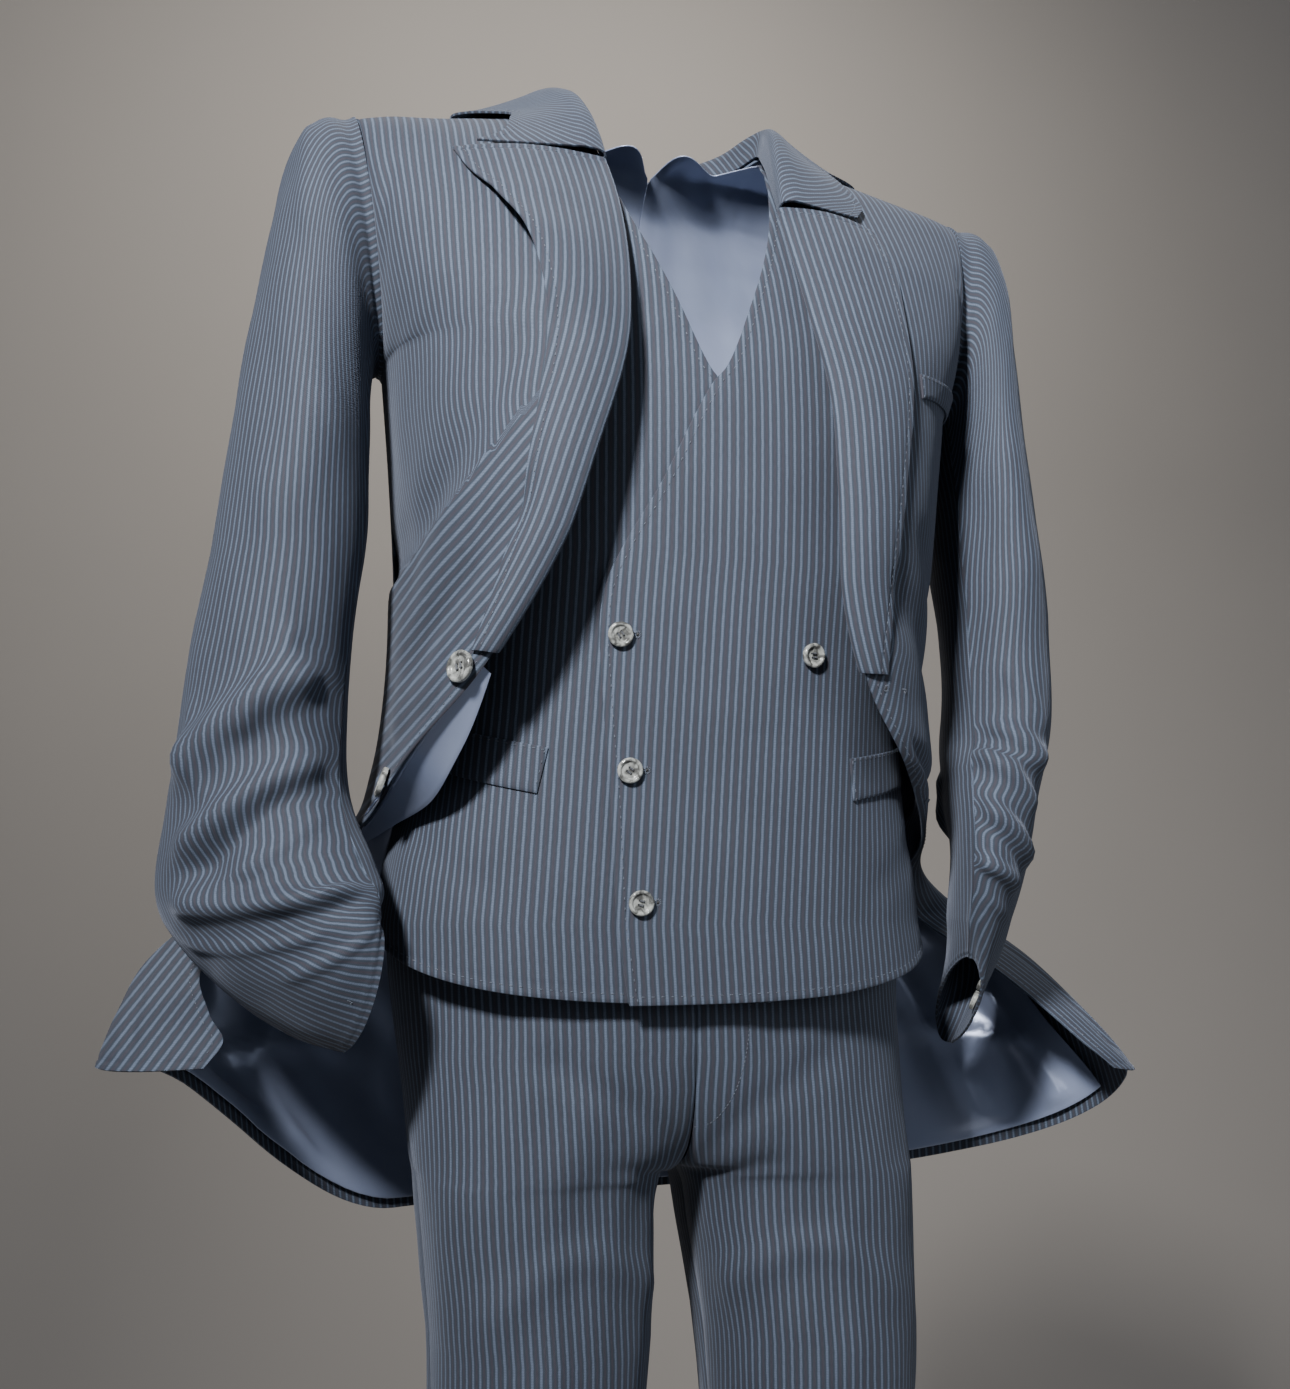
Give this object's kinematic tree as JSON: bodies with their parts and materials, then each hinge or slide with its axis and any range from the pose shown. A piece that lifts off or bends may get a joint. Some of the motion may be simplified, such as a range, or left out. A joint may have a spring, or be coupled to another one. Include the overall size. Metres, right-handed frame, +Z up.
{
  "type": "three-piece suit",
  "caption": "Pinstriped three-piece suit: open jacket with its skirts swept back, double-breasted waistcoat and trousers, hollow in the shape of its wearer.",
  "frame": {"origin": "middle of the neck opening, level with the tops of the shoulder seams", "axes": "+Z up towards the neck opening, -Y out of the front of the suit, +X to the wearer's left"},
  "size_m": [0.7425, 0.348, 1.5804],
  "materials": {
    "suiting": "matt worsted wool with fine light pinstripes",
    "satin_lining": "glossy blue-grey lining satin",
    "horn_button": "polished grey horn or resin"
  },
  "bodies": {
    "root": {"breast_pocket_welt": "suiting", "collar": "suiting", "cuff_button_left_1": "horn_button", "cuff_button_left_2": "horn_button", "cuff_button_left_3": "horn_button", "cuff_button_left_4": "horn_button", "cuff_button_right_1": "horn_button", "cuff_button_right_2": "horn_button", "cuff_button_right_3": "horn_button", "cuff_button_right_4": "horn_button", "jacket_back_left": "suiting", "jacket_back_right": "suiting", "jacket_button_1": "horn_button", "jacket_button_2": "horn_button", "jacket_front_left": "suiting", "jacket_front_right": "suiting", "jacket_lining_front": "satin_lining", "jacket_lining_left": "satin_lining", "jacket_lining_right": "satin_lining", "lapel_left": "suiting", "lapel_right": "suiting", "sleeve_under_left": "suiting", "sleeve_under_right": "suiting", "sleeve_upper_left": "suiting", "sleeve_upper_right": "suiting", "trouser_back_left": "suiting", "trouser_back_right": "suiting", "trouser_front_left": "suiting", "trouser_front_right": "suiting", "waistband_left": "suiting", "waistband_right": "suiting", "waistcoat_back_left": "satin_lining", "waistcoat_back_right": "satin_lining", "waistcoat_button_1": "horn_button", "waistcoat_button_2": "horn_button", "waistcoat_button_3": "horn_button", "waistcoat_button_4": "horn_button", "waistcoat_front_left": "suiting", "waistcoat_front_right": "suiting", "waistcoat_welt_left": "suiting", "waistcoat_welt_right": "suiting"}
  },
  "joints": []
}
